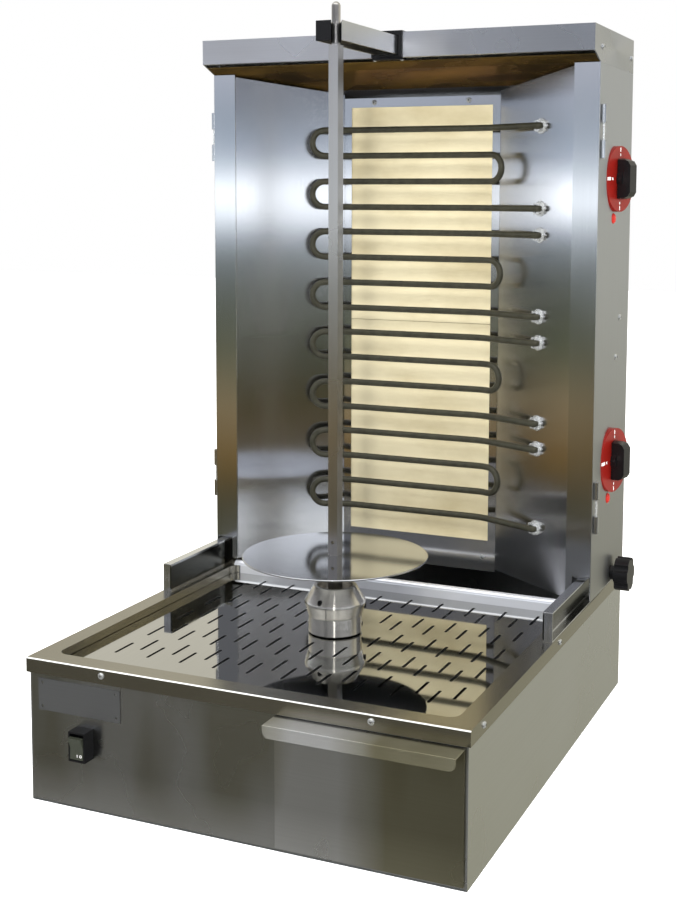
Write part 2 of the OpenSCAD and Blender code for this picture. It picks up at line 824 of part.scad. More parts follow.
module tube_along(p) {
    n = len(p);
    m = element_sides;
    points = [for (i = [0 : n - 1]) each ring(p, i)];
    faces = concat(
        [[for (k = [0 : m - 1]) m - 1 - k]],
        [for (i = [0 : n - 2], k = [0 : m - 1])
            [i * m + k, i * m + (k + 1) % m, (i + 1) * m + (k + 1) % m, (i + 1) * m + k]],
        [[for (k = [0 : m - 1]) (n - 1) * m + k]]);
    polyhedron(points = points, faces = faces, convexity = 10);
}

module element(index) {
    color("#3f3f30") tube_along(element_path(top_pass_z - index * element_pitch));
}

// Hexagon nuts and washers that hold the element ends to the right wing
module element_nuts() {
    color("white") for (z = terminal_zs)
        translate([terminal_x, terminal_y, z]) rotate([0, 0, -wing_angle]) rotate([90, 0, 0])
            difference() {
                union() {
                    cylinder(h = washer_t, r = 9.5);
                    translate([0, 0, washer_t]) cylinder(h = 6, r = 8, $fn = 6);
                }
                translate([0, 0, -1]) cylinder(h = 12, r = tube_r + 0.35);
            }
}

// ---------- controls ----------

// Places its children on a control, whose axis is then the local X
module on_control(z) {
    translate([tower_x, control_y, z]) rotate([0, 0, -dial_tilt]) children();
}
module dial_plates() {
    color("firebrick") for (z = [upper_z, lower_z])
        difference() {
            rod_x(tower_x, tower_x + 24, dial_r, control_y, z);
            on_control(z) {
                span([dial_h, -60, -60], [60, 60, 60]);
                rod_x(-6, dial_h + 1, neck_r + 0.3);
            }
        }
}

module control_knob(z) {
    color(black) on_control(z) {
        rod_x(dial_h + 0.5, dial_h + 7, 12);
        intersection() {
            rod_x(dial_h + 0.5, dial_h + knob_h, knob_r);
            translate([dial_h, 9.5, 0]) rotate([90, 0, 0]) linear_extrude(19)
                polygon([[0.5, -knob_r], [knob_h - 11, -knob_r], [knob_h - 3, -21],
                         [knob_h, -16], [knob_h, 16], [knob_h - 3, 21],
                         [knob_h - 11, knob_r], [0.5, knob_r]]);
        }
        rod_x(-18, dial_h + 1, control_shaft_r);
    }
}

module pilot_lamps() {
    color("red") for (z = [upper_z, lower_z])
        translate([tower_x, from_front(488), z - lamp_drop]) rotate([0, 90, 0])
            rotate_extrude($fn = small_fn)
                polygon([[0, -14], [lamp_r, -14], [lamp_r, 0], [6.5, 0], [6.5, 1], [5.4, 1.6],
                         [4.6, 2.8], [2.4, 3.4], [0, 3.6]]);
}

module energy_regulators() {
    color("ivory") for (z = [upper_z, lower_z])
        on_control(z) difference() {
            union() {
                span([-33, -21, -23], [-7, 21, 23]);
                rod_x(-8, dial_h - 0.5, neck_r);
            }
            rod_x(-19, dial_h, control_shaft_r + 0.06);
            span([-27, -8, -24], [-6, 4, -22]);
        }
}

module at_side_screws() {
    for (p = [[532, 497], [515, 449]])
        translate([tower_x, from_front(p[0]), p[1]]) rotate([0, 90, 0]) children();
}

module side_screws() {
    color("white") at_side_screws() pan_screw(4, 2, sheet);
}

module clamp_nut() {
    x1 = tower_x - sheet;
    color(dark_steel) difference() {
        rod_x(x1 - 6, x1, 7, clamp_y, clamp_z, $fn = 6);
        rod_x(x1 - 8, x1 + 1, 4.06, clamp_y, clamp_z);
    }
}

// Lobed hand knob on a stud that reaches into the rail
module clamp_knob() {
    lobes = 6;
    color(black) translate([0, clamp_y, clamp_z]) {
        rod_x(tower_x + 0.6, tower_x + 9, 9);
        difference() {
            rod_x(tower_x + 8, tower_x + 26, 21);
            for (i = [0 : lobes - 1])
                rotate([360 * i / lobes, 0, 0]) rod_x(tower_x + 5, tower_x + 30, 6, 0, 24);
        }
    }
    color(dark_steel) rod_x(rail_x0 + sheet + 1, tower_x + 1, 4, clamp_y, clamp_z);
}

// ---------- arm ----------

// Slot for the skewer's round end, open towards the front
module arm_slot(z0, z1, grow) {
    translate([0, spit_y, z0]) {
        cylinder(h = z1 - z0, r = tip_r + grow);
        rotate([0, 0, slot_turn]) translate([-tip_r - grow, -60, 0])
            cube([2 * (tip_r + grow), 60, z1 - z0]);
    }
}

// Inverted channel, open underneath
module arm_channel() {
    color(steel) difference() {
        span([-arm_w / 2, arm_y0 + 2.5, arm_z0], [arm_w / 2, arm_y1, arm_z1]);
        span([-arm_w / 2 + sheet, arm_y0, arm_z0 - 1], [arm_w / 2 - sheet, arm_y1 + 1, arm_z1 - sheet]);
        arm_slot(arm_z0 - 1, arm_z1 + 1, 1);
    }
}

// Plastic block that guides the round end of the skewer, slotted towards the front
module arm_end_block() {
    color(black) difference() {
        union() {
            span([-arm_w / 2, arm_y0, arm_z0], [arm_w / 2 - 2, arm_y0 + 2.4, arm_z1]);
            span([-arm_w / 2 + sheet, arm_y0 + 1, arm_z0],
                 [arm_w / 2 - sheet, spit_y + 22, arm_z1 - sheet]);
        }
        arm_slot(arm_z0 - 1, arm_z1 + 1, 0.35);
    }
}

// Plastic frame in the canopy that the arm slides through
module arm_bush() {
    color(black) difference() {
        union() {
            span([-20, canopy_y0 - 2, lip_z + 0.1], [20, canopy_y0 + 14, top_z + 1.5]);
            span([-20, canopy_y0 + 1.5, lip_z - 2.6], [20, canopy_y0 + 11, lip_z + 0.2]);
        }
        span([-arm_w / 2 - 0.4, canopy_y0 - 5, arm_z0 - 0.4],
             [arm_w / 2 + 0.4, canopy_y0 + 20, arm_z1 + 0.4]);
        at_bush_screws() screw_hole(1.2, 2.4);
    }
}

// ---------- nodes ----------

base_shell();
front_panel();
base_bottom();
top_surround();
drip_floor();
slotted_tray();
rail(-1);  // rail_left
rail(1);  // rail_right
surround_screws();
motor();
gearbox_housing();
gearbox_cover();
motor_bracket();
shaft_bush();
shaft_seal();
switch_housing();
cable_gland();
drawer_runners();
name_plate();
drive_pinion();
drive_gear();
output_shaft();
chuck();
chuck_screws();
skewer();
meat_plate();
plate_pin();
switch_rocker();
drawer_front();
grease_pan();
side_panel(-1);  // side_panel_left
side_panel(1);  // side_panel_right
tower_back();
canopy();
ceiling_plate();
canopy_screws();
reflector_frame();
frame_screws();
ceramic_board(board_seam + 0.3, window_z1 + 6);  // ceramic_board_upper
ceramic_board(window_z0 - 6, board_seam - 0.3);  // ceramic_board_lower
wing(-1);  // wing_left
wing(1);  // wing_right
hinge_brackets();
hinge_pins();
element(0);  // element_1
element(1);  // element_2
element(2);  // element_3
element(3);  // element_4
element_nuts();
dial_plates();
pilot_lamps();
energy_regulators();
side_screws();
arm_bush();
clamp_nut();
arm_channel();
arm_end_block();
control_knob(upper_z);  // upper_knob
control_knob(lower_z);  // lower_knob
clamp_knob();
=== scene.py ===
"""Looks for the upright electric spit broiler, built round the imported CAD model. Metres."""

import json
import math

import bmesh
import bpy
from mathutils import Matrix, Vector

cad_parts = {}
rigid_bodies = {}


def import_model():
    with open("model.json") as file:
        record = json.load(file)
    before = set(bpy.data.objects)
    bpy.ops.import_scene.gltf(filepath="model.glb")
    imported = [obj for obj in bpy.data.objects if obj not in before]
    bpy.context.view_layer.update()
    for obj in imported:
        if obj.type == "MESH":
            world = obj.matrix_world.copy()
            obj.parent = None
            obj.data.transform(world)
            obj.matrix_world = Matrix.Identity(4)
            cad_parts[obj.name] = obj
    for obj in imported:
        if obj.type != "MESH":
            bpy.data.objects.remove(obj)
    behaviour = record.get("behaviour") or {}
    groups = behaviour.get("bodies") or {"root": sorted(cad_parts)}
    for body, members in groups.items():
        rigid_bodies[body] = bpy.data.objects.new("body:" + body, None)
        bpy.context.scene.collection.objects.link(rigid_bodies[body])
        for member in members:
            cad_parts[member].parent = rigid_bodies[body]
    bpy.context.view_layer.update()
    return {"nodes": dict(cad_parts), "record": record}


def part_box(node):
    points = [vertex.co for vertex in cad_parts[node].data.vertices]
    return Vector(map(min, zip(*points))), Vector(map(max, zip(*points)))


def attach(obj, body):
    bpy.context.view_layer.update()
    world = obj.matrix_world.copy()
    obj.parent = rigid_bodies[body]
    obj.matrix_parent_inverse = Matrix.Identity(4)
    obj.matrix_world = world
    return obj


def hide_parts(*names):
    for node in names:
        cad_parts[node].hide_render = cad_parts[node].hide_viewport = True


for leftover in list(bpy.data.objects):
    bpy.data.objects.remove(leftover)

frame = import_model()
nodes = frame["nodes"]
record = frame["record"]
body_of_node = {n: b for b, group in record["behaviour"]["bodies"].items() for n in group}
slot_of_node = {s["node"]: s["material_slot"] for s in record["subparts"]}

MM = 0.001
WELD = 0.005 * MM  # vertices nearer than this are one
SOFT = 0.4 * MM  # width over which a boundary between two finishes fades
FOLD_HIGHLIGHT = (0.9 * MM, 1.4 * MM)  # the painted highlight on the fold of the rim is full to here, and ends here


# ---------- materials ----------


def opened(mat):
    """A material's node tree, its Principled shader and an object-space coordinate."""
    tree = mat.node_tree
    coord = tree.nodes.new("ShaderNodeTexCoord")
    return tree, tree.nodes["Principled BSDF"], coord.outputs["Object"]


def new_material(name):
    """A new material, followed by what opened() gives."""
    mat = bpy.data.materials.new(name)
    mat.use_nodes = True
    return (mat, *opened(mat))


def noise(tree, coord, scale, detail=2.0, rough=0.5):
    """Noise whose scale is (cycles per metre) along X, Y and Z."""
    mapping = tree.nodes.new("ShaderNodeMapping")
    mapping.inputs["Scale"].default_value = scale
    tree.links.new(coord, mapping.inputs["Vector"])
    tex = tree.nodes.new("ShaderNodeTexNoise")
    tex.inputs["Scale"].default_value = 1.0
    tex.inputs["Detail"].default_value = detail
    tex.inputs["Roughness"].default_value = rough
    tree.links.new(mapping.outputs["Vector"], tex.inputs["Vector"])
    return tex.outputs["Fac"]


def ramp(tree, value, low, high, start=0.3, end=0.7):
    """value from start to end becomes a colour, or a number, from low to high."""
    if isinstance(low, (int, float)):
        node = tree.nodes.new("ShaderNodeMapRange")
        node.inputs["From Min"].default_value = start
        node.inputs["From Max"].default_value = end
        node.inputs["To Min"].default_value = low
        node.inputs["To Max"].default_value = high
        tree.links.new(value, node.inputs["Value"])
        return node.outputs["Result"]
    node = tree.nodes.new("ShaderNodeValToRGB")
    node.color_ramp.elements[0].position = start
    node.color_ramp.elements[0].color = (*low, 1)
    node.color_ramp.elements[1].position = end
    node.color_ramp.elements[1].color = (*high, 1)
    tree.links.new(value, node.inputs["Fac"])
    return node.outputs["Color"]


def bump(tree, shader, height, strength, distance):
    """Roughens the surface normal by a height."""
    node = tree.nodes.new("ShaderNodeBump")
    node.inputs["Strength"].default_value = strength
    node.inputs["Distance"].default_value = distance
    tree.links.new(height, node.inputs["Height"])
    tree.links.new(node.outputs["Normal"], shader.inputs["Normal"])


def spread(tree, shader, axis, amount):
    """Smears reflections round an axis, as fine grain along that axis does."""
    tangent = tree.nodes.new("ShaderNodeTangent")
    tangent.direction_type = "RADIAL"
    tangent.axis = axis
    tree.links.new(tangent.outputs["Tangent"], shader.inputs["Tangent"])
    shader.inputs["Anisotropic"].default_value = amount


def brushed(name, colour, roughness, grain, bump_strength=0.0, contrast=0.02, smear=0.8):
    """Sheet metal with fine straight grain along one axis, 'X', 'Y' or 'Z'."""
    mat, tree, shader, coord = new_material(name)
    spread(tree, shader, grain, smear)
    across, along = 800.0, 1.2
    scale = [along if axis == grain else across for axis in "XYZ"]
    streaks = noise(tree, coord, scale, detail=3.0)
    smudges = noise(tree, coord, (7.0, 7.0, 7.0), detail=3.0)
    low = [c * (1 - contrast) for c in colour]
    high = [min(1.0, c * (1 + contrast)) for c in colour]
    tree.links.new(ramp(tree, streaks, low, high), shader.inputs["Base Color"])
    add = tree.nodes.new("ShaderNodeMath")
    add.operation = "ADD"
    add.inputs[0].default_value = roughness
    tree.links.new(ramp(tree, smudges, 0.0, roughness * 0.35), add.inputs[1])
    tree.links.new(add.outputs[0], shader.inputs["Roughness"])
    shader.inputs["Metallic"].default_value = 1.0
    if bump_strength:
        bump(tree, shader, streaks, bump_strength, 0.0002)
    return mat


def axis_of(tree, coord, axis):
    """One coordinate as a number: 'X', 'Y' or 'Z', or '|X|' for its distance from zero."""
    split = tree.nodes.new("ShaderNodeSeparateXYZ")
    tree.links.new(coord, split.inputs[0])
    if axis in "XYZ":
        return split.outputs[axis]
    size = tree.nodes.new("ShaderNodeMath")
    size.operation = "ABSOLUTE"
    tree.links.new(split.outputs[axis.strip("|")], size.inputs[0])
    return size.outputs[0]


def tint(tree, shader, mask, colour, blend="MULTIPLY"):
    """Multiplies the base colour by colour, or with "MIX" replaces it, where mask is 1."""
    mix = tree.nodes.new("ShaderNodeMix")
    mix.data_type = "RGBA"
    mix.blend_type = blend
    mix.inputs["B"].default_value = (*colour, 1)
    tree.links.new(mask, mix.inputs["Factor"])
    tree.links.new(shader.inputs["Base Color"].links[0].from_socket, mix.inputs["A"])
    tree.links.new(mix.outputs["Result"], shader.inputs["Base Color"])


def blend_number(tree, shader, socket, mask, value):
    """Turns a shader's number into value where mask is 1."""
    target = shader.inputs[socket]
    mix = tree.nodes.new("ShaderNodeMix")
    mix.inputs["A"].default_value = target.default_value
    if target.links:
        tree.links.new(target.links[0].from_socket, mix.inputs["A"])
    mix.inputs["B"].default_value = value
    tree.links.new(mask, mix.inputs["Factor"])
    tree.links.new(mix.outputs["Result"], target)


def product(tree, a, b):
    node = tree.nodes.new("ShaderNodeMath")
    node.operation = "MULTIPLY"
    tree.links.new(a, node.inputs[0])
    tree.links.new(b, node.inputs[1])
    return node.outputs[0]


def stained_with_painted_light(name, colour, shade_x=None):
    """Brushed front sheet, painted paler along its foot as a painted highlight, stained in
    upright patches.

    With shade_x, for the drawer: painted shade beyond that place, darker and browner as its
    reflection is there, and a plainer finish on the handle.
    """
    mat = brushed(name, colour, 0.24, "X")
    tree, shader, coord = opened(mat)
    # Painted highlight: the colour stays full at the foot and is darkened above 50 mm, standing
    # in for light reflected along the bottom.
    height = ramp(tree, axis_of(tree, coord, "Z"), 0.0, 1.0, 4 * MM, 50 * MM)
    tint(tree, shader, height, (0.66, 0.66, 0.65))
    stains = ramp(tree, noise(tree, coord, (11.0, 11.0, 2.5), 2.0), 0.0, 1.0, 0.45, 0.65)
    tint(tree, shader, product(tree, stains, height), (0.70, 0.68, 0.58))
    if shade_x is not None:
        # Painted shade: beyond shade_x the drawer front is darkened and browned, standing in for
        # the darker reflection there.
        shade = ramp(tree, axis_of(tree, coord, "X"), 0.0, 1.0, shade_x, shade_x + 50 * MM)
        tint(tree, shader, shade, (0.50, 0.47, 0.33))
        handle = ramp(tree, axis_of(tree, coord, "Y"), 1.0, 0.0, HANDLE_Y, HANDLE_Y + 2 * MM)
        blend_number(tree, shader, "Metallic", handle, 0.86)
        blend_number(tree, shader, "Roughness", handle, 0.34)
    return mat


def panel_steel(name, side_x):
    """Side sheet: clean upright grain in front, a dull and warmer face beyond side_x."""
    mat = brushed(name, (0.64, 0.65, 0.66), 0.15, "Z", smear=0.92)
    tree, shader, coord = opened(mat)
    side = ramp(tree, axis_of(tree, coord, "|X|"), 0.0, 1.0, side_x - 0.6 * MM, side_x - 0.2 * MM)
    blend_number(tree, shader, "Roughness", side, 0.44)
    tint(tree, shader, side, (0.97, 0.96, 0.93))
    return mat


def surround_steel(name, bead_low, bead_high, half_width, top, front):
    """Rim steel with a polished bead between two depths, painted whiter as a painted reflection,
    and a painted highlight along the fold at top and front.
    """
    mat = brushed(name, (0.38, 0.36, 0.30), 0.20, "X", smear=0.4)
    tree, shader, coord = opened(mat)
    y = axis_of(tree, coord, "Y")
    beyond = ramp(tree, y, 0.0, 1.0, bead_low - SOFT, bead_low)
    before = ramp(tree, y, 1.0, 0.0, bead_high, bead_high + SOFT)
    inside = ramp(tree, axis_of(tree, coord, "|X|"), 1.0, 0.0, half_width, half_width + SOFT)
    bead_sheen = product(tree, inside, product(tree, beyond, before))
    # Painted reflection: the bead is polished, and its colour is also mixed to near white with
    # less metal, standing in for its bright reflection.
    tint(tree, shader, bead_sheen, (0.90, 0.92, 0.97), "MIX")
    blend_number(tree, shader, "Roughness", bead_sheen, 0.14)
    blend_number(tree, shader, "Metallic", bead_sheen, 0.55)
    # Painted highlight: a near-white, less metallic strip along the top front fold stands in for
    # the glint on that edge.
    high = ramp(tree, axis_of(tree, coord, "Z"), 0.0, 1.0, top - FOLD_HIGHLIGHT[1], top - FOLD_HIGHLIGHT[0])
    fore = ramp(tree, y, 1.0, 0.0, front + FOLD_HIGHLIGHT[0], front + FOLD_HIGHLIGHT[1])
    fold_highlight = product(tree, high, fore)
    tint(tree, shader, fold_highlight, (0.98, 0.98, 0.95), "MIX")
    blend_number(tree, shader, "Metallic", fold_highlight, 0.3)
    return mat


def canopy_steel(name, start_x, end_x):
    """Brushed steel with painted light: bright on the left and painted darker towards the right,
    where its reflection dims.
    """
    mat = brushed(name, (0.80, 0.80, 0.83), 0.24, "X")
    tree, shader, coord = opened(mat)
    # Painted shade: from start_x to end_x the colour darkens, standing in for the dimmer
    # reflection on the right.
    painted_dimming = ramp(tree, axis_of(tree, coord, "X"), 0.0, 1.0, start_x, end_x)
    tint(tree, shader, painted_dimming, (0.70, 0.72, 0.74))
    return mat


def channel_steel(name, web_x, low, high):
    """Rail steel: bright flanges, and a web painted dark between low and high as painted shade
    inside the channel.
    """
    mat = brushed(name, BRIGHT, 0.16, "Y")
    tree, shader, coord = opened(mat)
    beside = ramp(tree, axis_of(tree, coord, "|X|"), 1.0, 0.0, web_x, web_x + SOFT)
    z = axis_of(tree, coord, "Z")
    above = ramp(tree, z, 0.0, 1.0, low, low + 2 * MM)
    below = ramp(tree, z, 1.0, 0.0, high - 2 * MM, high)
    # Painted shade: the web between the flanges is darkened where the inside of the channel lies
    # in shade.
    mask = product(tree, beside, product(tree, above, below))
    tint(tree, shader, mask, (0.10, 0.10, 0.085))
    return mat


def plain(name, colour, roughness, metallic=0.0, mottle=0.06, grain_size=250.0, bumps=0.03):
    """A plain finish with slight mottling, for plastic, paint, rubber and castings."""
    mat, tree, shader, coord = new_material(name)
    speckle = noise(tree, coord, (grain_size,) * 3, detail=3.0)
    low = [c * (1 - mottle) for c in colour]
    high = [min(1.0, c * (1 + mottle)) for c in colour]
    tree.links.new(ramp(tree, speckle, low, high), shader.inputs["Base Color"])
    tree.links.new(ramp(tree, speckle, roughness * 0.9, roughness * 1.1),
                   shader.inputs["Roughness"])
    shader.inputs["Metallic"].default_value = metallic
    bump(tree, shader, speckle, bumps, 0.0003)
    return mat


def turned(name, colour, roughness):
    """Lathe-turned metal: fine rings along Z round a vertical axis."""
    mat, tree, shader, coord = new_material(name)
    spread(tree, shader, "Z", 0.9)
    shader.inputs["Anisotropic Rotation"].default_value = 0.25
    rings = noise(tree, coord, (2.0, 2.0, 1800.0), detail=2.0)
    tree.links.new(ramp(tree, rings, [c * 0.97 for c in colour], colour),
                   shader.inputs["Base Color"])
    tree.links.new(ramp(tree, rings, roughness * 0.95, roughness * 1.05),
                   shader.inputs["Roughness"])
    shader.inputs["Metallic"].default_value = 1.0
    bump(tree, shader, rings, 0.003, 0.0001)
    return mat


def heat_stained(name, colour, stain, roughness, metallic=0.7):
    """Steel browned by heat in patches, brown at grazing angles too."""
    mat, tree, shader, coord = new_material(name)
    patches = noise(tree, coord, (9.0, 22.0, 9.0), detail=4.0)
    tree.links.new(ramp(tree, patches, stain, colour, 0.35, 0.65), shader.inputs["Base Color"])
    tree.links.new(ramp(tree, patches, roughness * 1.2, roughness * 0.8),
                   shader.inputs["Roughness"])
    shader.inputs["Metallic"].default_value = metallic
    shader.inputs["Specular Tint"].default_value = (0.55, 0.38, 0.14, 1)
    return mat


def board(name, colour):
    """Matt cream insulating board, faintly mottled and scorched in places."""
    mat, tree, shader, coord = new_material(name)
    patches = noise(tree, coord, (6.0, 6.0, 11.0), detail=5.0, rough=0.6)
    grit = noise(tree, coord, (900.0, 900.0, 900.0), detail=2.0)
    scorched = [c * f for c, f in zip(colour, (0.76, 0.73, 0.66))]
    tree.links.new(ramp(tree, patches, scorched, colour, 0.32, 0.56), shader.inputs["Base Color"])
    shader.inputs["Roughness"].default_value = 0.85
    bump(tree, shader, grit, 0.15, 0.0003)
    return mat


STEEL = (0.62, 0.63, 0.64)
BRIGHT = (0.74, 0.75, 0.76)
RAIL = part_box("rail_right")
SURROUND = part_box("top_surround")
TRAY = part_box("slotted_tray")
PANEL_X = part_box("side_panel_right")[1].x
HANDLE_Y = SURROUND[0].y - 3 * MM  # the drawer's handle lies in front of this plane
MATERIALS = {
    "steel_x": brushed("steel_x", STEEL, 0.24, "X"),
    "steel_y": brushed("steel_y", STEEL, 0.24, "Y"),
    "steel_z": brushed("steel_z", STEEL, 0.20, "Z"),
    "panel": panel_steel("panel_steel", PANEL_X),
    "canopy": canopy_steel("canopy_steel", -0.06, 0.22),
    "wing": brushed("wing_steel", (0.66, 0.66, 0.67), 0.13, "Z", smear=0.92),
    "front": stained_with_painted_light("stained_steel_painted_sheen", (0.68, 0.68, 0.67)),
    "drawer": stained_with_painted_light("drawer_steel", (0.90, 0.90, 0.90), 0.115),
    "rail": channel_steel("rail_steel", RAIL[0].x + 1.7 * MM, RAIL[0].z + 1.4 * MM,
                          RAIL[1].z - 1.4 * MM),
    "screw": plain("screw_zinc", (0.62, 0.63, 0.62), 0.28, 0.85, 0.06),
    "rim": surround_steel("rim_steel", TRAY[1].y + 0.8 * MM, TRAY[1].y + 13.2 * MM,
                          TRAY[1].x + 0.8 * MM, RAIL[0].z, SURROUND[0].y),
    "mirror": brushed("mirror_steel", (0.53, 0.53, 0.51), 0.035, "Y", smear=0.0),
    "plate": brushed("plate_steel", (0.60, 0.61, 0.63), 0.07, "X", smear=0.3),
    "galvanised": plain("galvanised", (0.42, 0.44, 0.46), 0.42, 1.0, 0.15, 60.0),
    "zinc": plain("zinc", (0.74, 0.75, 0.74), 0.26, 0.75, 0.04),
    "turned": turned("turned_steel", (0.76, 0.73, 0.67), 0.24),
    "bar": brushed("bar_steel", (0.60, 0.58, 0.55), 0.24, "Z", 0.004, 0.05),
    "gear_steel": plain("gear_steel", (0.42, 0.42, 0.44), 0.32, 1.0),
    "bronze": plain("bronze", (0.62, 0.45, 0.22), 0.35, 1.0),
    "cast": plain("cast_housing", (0.52, 0.53, 0.54), 0.50, 1.0, 0.1, 400.0, 0.2),
    "motor": plain("motor_paint", (0.05, 0.05, 0.06), 0.45),
    "blank_plate": brushed("blank_plate", (0.33, 0.33, 0.325), 0.40, "X"),
    "sheath": plain("element_sheath", (0.042, 0.040, 0.026), 0.38, 0.30, 0.25, 120.0, 0.1),
    "board": board("cream_board", (0.71, 0.63, 0.415)),
    "black": plain("black_plastic", (0.005, 0.005, 0.0055), 0.30, 0.0, 0.1, 900.0, 0.01),
    "black_metal": plain("black_screws", (0.02, 0.02, 0.02), 0.35, 0.6),
    "rubber": plain("seal_rubber", (0.07, 0.07, 0.065), 0.6),
    "red": plain("red_dial", (0.20, 0.007, 0.004), 0.34, 0.0, 0.08, 60.0),
    "lamp": plain("red_lamp", (0.42, 0.020, 0.014), 0.12, 0.0, 0.02),
    "rocker": plain("rocker_plastic", (0.030, 0.033, 0.024), 0.30, 0.0, 0.1, 700.0, 0.03),
    # Painted shade: black standing in for the shade inside the cross recesses
    "recess": plain("painted_recess_shade", (0.02, 0.02, 0.02), 0.6),
    "white": plain("white_print", (0.80, 0.78, 0.76), 0.5),
    "ivory": plain("regulator_plastic", (0.62, 0.58, 0.46), 0.5),
    "ceiling": heat_stained("heat_stained_steel", (0.15, 0.090, 0.022),
                            (0.035, 0.026, 0.009), 0.26),
}

MATERIAL_OF_SLOT = {
    "brushed_steel": "steel_x", "polished_steel": "wing", "heat_stained_steel": "ceiling",
    "turned_steel": "turned", "galvanised": "galvanised", "zinc": "zinc",
    "gear_steel": "gear_steel", "bronze": "bronze", "cast_housing": "cast",
    "motor_paint": "motor", "plate_aluminium": "blank_plate", "element_sheath": "sheath",
    "cream_board": "board", "black_plastic": "black", "black_screws": "black_metal",
    "seal_rubber": "rubber", "red_dial": "red", "red_lamp": "lamp",
    "regulator_plastic": "ivory",
}
# Nodes whose material isn't the one of their slot
MATERIAL_OF_NODE = {
    "base_shell": "steel_y", "rail_left": "rail", "rail_right": "rail",
    "front_panel": "front", "drawer_front": "drawer", "top_surround": "rim",
    "switch_rocker": "rocker", "surround_screws": "screw", "canopy_screws": "screw",
    "frame_screws": "screw", "side_screws": "screw",
    "arm_channel": "steel_y", "side_panel_left": "panel", "side_panel_right": "panel",
    "canopy": "canopy", "tower_back": "steel_z", "hinge_brackets": "steel_z",
    "slotted_tray": "mirror",
    "meat_plate": "plate", "skewer": "bar", "grease_pan": "wing",
}


def material_of(node):
    """The material of a CAD node, by its own name or by its slot."""
    key = MATERIAL_OF_NODE.get(node, MATERIAL_OF_SLOT[slot_of_node[node]])
    return MATERIALS[key]


# ---------- pieces ----------


def add_object(name, mesh, material, body):
    """Puts a mesh or curve in the scene, riding on a body."""
    obj = bpy.data.objects.new(name, mesh)
    bpy.context.scene.collection.objects.link(obj)
    mesh.materials.clear()
    mesh.materials.append(material)
    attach(obj, body)
    return obj


def finished(node, edge, segments=2, angle=30.0):
    """A copy of a CAD node with its edges eased by edge millimetres, which stands for it."""
    mesh = nodes[node].data.copy()
    if "custom_normal" in mesh.attributes:
        mesh.attributes.remove(mesh.attributes["custom_normal"])
    bm = bmesh.new()
    bm.from_mesh(mesh)
    bmesh.ops.remove_doubles(bm, verts=bm.verts, dist=WELD)
    bmesh.ops.dissolve_limit(bm, angle_limit=math.radians(0.3), verts=bm.verts,
                             edges=bm.edges, delimit={"NORMAL"})
    bmesh.ops.recalc_face_normals(bm, faces=bm.faces)
    bm.to_mesh(mesh)
    bm.free()
    mesh.shade_smooth()
    mesh.set_sharp_from_angle(angle=math.radians(angle))
    obj = add_object(node + "_finished", mesh, material_of(node), body_of_node[node])
    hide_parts(node)
    bevel = obj.modifiers.new("eased_edges", "BEVEL")
    bevel.width = edge * MM
    bevel.segments = segments
    bevel.limit_method = "ANGLE"
    bevel.angle_limit = math.radians(angle)
    bevel.harden_normals = True
    return obj


# Millimetres by which the edges of each node are eased
EASED = {
    "base_shell": 0.3, "front_panel": 0.3, "top_surround": 1.0, "slotted_tray": 0.2,
    "rail_left": 0.4, "rail_right": 0.4, "switch_housing": 0.6, "switch_rocker": 0.4,
    "drawer_front": 0.6, "side_panel_left": 0.4, "side_panel_right": 0.4, "canopy": 0.5,
    "reflector_frame": 0.3, "wing_left": 0.3, "wing_right": 0.3, "hinge_brackets": 0.3,
    "element_nuts": 0.5, "upper_knob": 0.9, "lower_knob": 0.9, "clamp_knob": 1.2,
    "arm_channel": 0.4, "arm_end_block": 0.6, "arm_bush": 0.5, "skewer": 0.5, "chuck": 0.3,
    "meat_plate": 0.2, "tower_back": 0.4, "name_plate": 0.2, "cable_gland": 0.5,
    "motor": 1.0, "gearbox_housing": 0.6, "gearbox_cover": 0.6, "grease_pan": 0.4,
}

for key in ("black", "red", "rocker"):
    plastic = MATERIALS[key].node_tree.nodes["Principled BSDF"]
    plastic.inputs["Specular IOR Level"].default_value = 0.3

for node, obj in nodes.items():
    obj.data.materials.clear()
    obj.data.materials.append(material_of(node))
for node, edge in EASED.items():
    finished(node, edge)


# ---------- heating elements ----------

TUBE_R = 4.0 * MM
PASS_PITCH = 33.0 * MM
PLAN_BEND = 14.0 * MM
# Where the elements pass through the right wing, where their passes bend in plan, which way
# their ends lean, and how far their turns reach
NUTS_LOW, NUTS_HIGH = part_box("element_nuts")
TERMINAL = Vector(((NUTS_LOW.x + NUTS_HIGH.x) / 2, (NUTS_LOW.y + NUTS_HIGH.y) / 2, 0))
FRAME_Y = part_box("reflector_frame")[0].y
BEND_LEFT_X, BEND_RIGHT_X = -92 * MM, 95 * MM
OUT_LEFT = Vector((-43, -18, 0)).normalized()
OUT_RIGHT = Vector((25, -11, 0)).normalized()
LEFT_REACH = Vector((-0.135, FRAME_Y - 0.040, 0))
RIGHT_REACH = Vector((0.120, FRAME_Y - 0.033, 0))
STUB_IN, STUB_OUT = 12 * MM, 16 * MM
MIN_STEP = 0.2 * MM


def round_corners(points, radius, steps=6):
    """The polyline with each inner corner replaced by an arc-like curve."""
    out = [points[0]]
    for a, b, c in zip(points, points[1:], points[2:]):
        back, ahead = (a - b), (c - b)
        cut = min(radius, back.length * 0.49, ahead.length * 0.49)
        p, q = b + back.normalized() * cut, b + ahead.normalized() * cut
        for i in range(steps + 1):
            t = i / steps
            out.append(p * (1 - t) ** 2 + b * 2 * t * (1 - t) + q * t ** 2)
    out.append(points[-1])
    return out


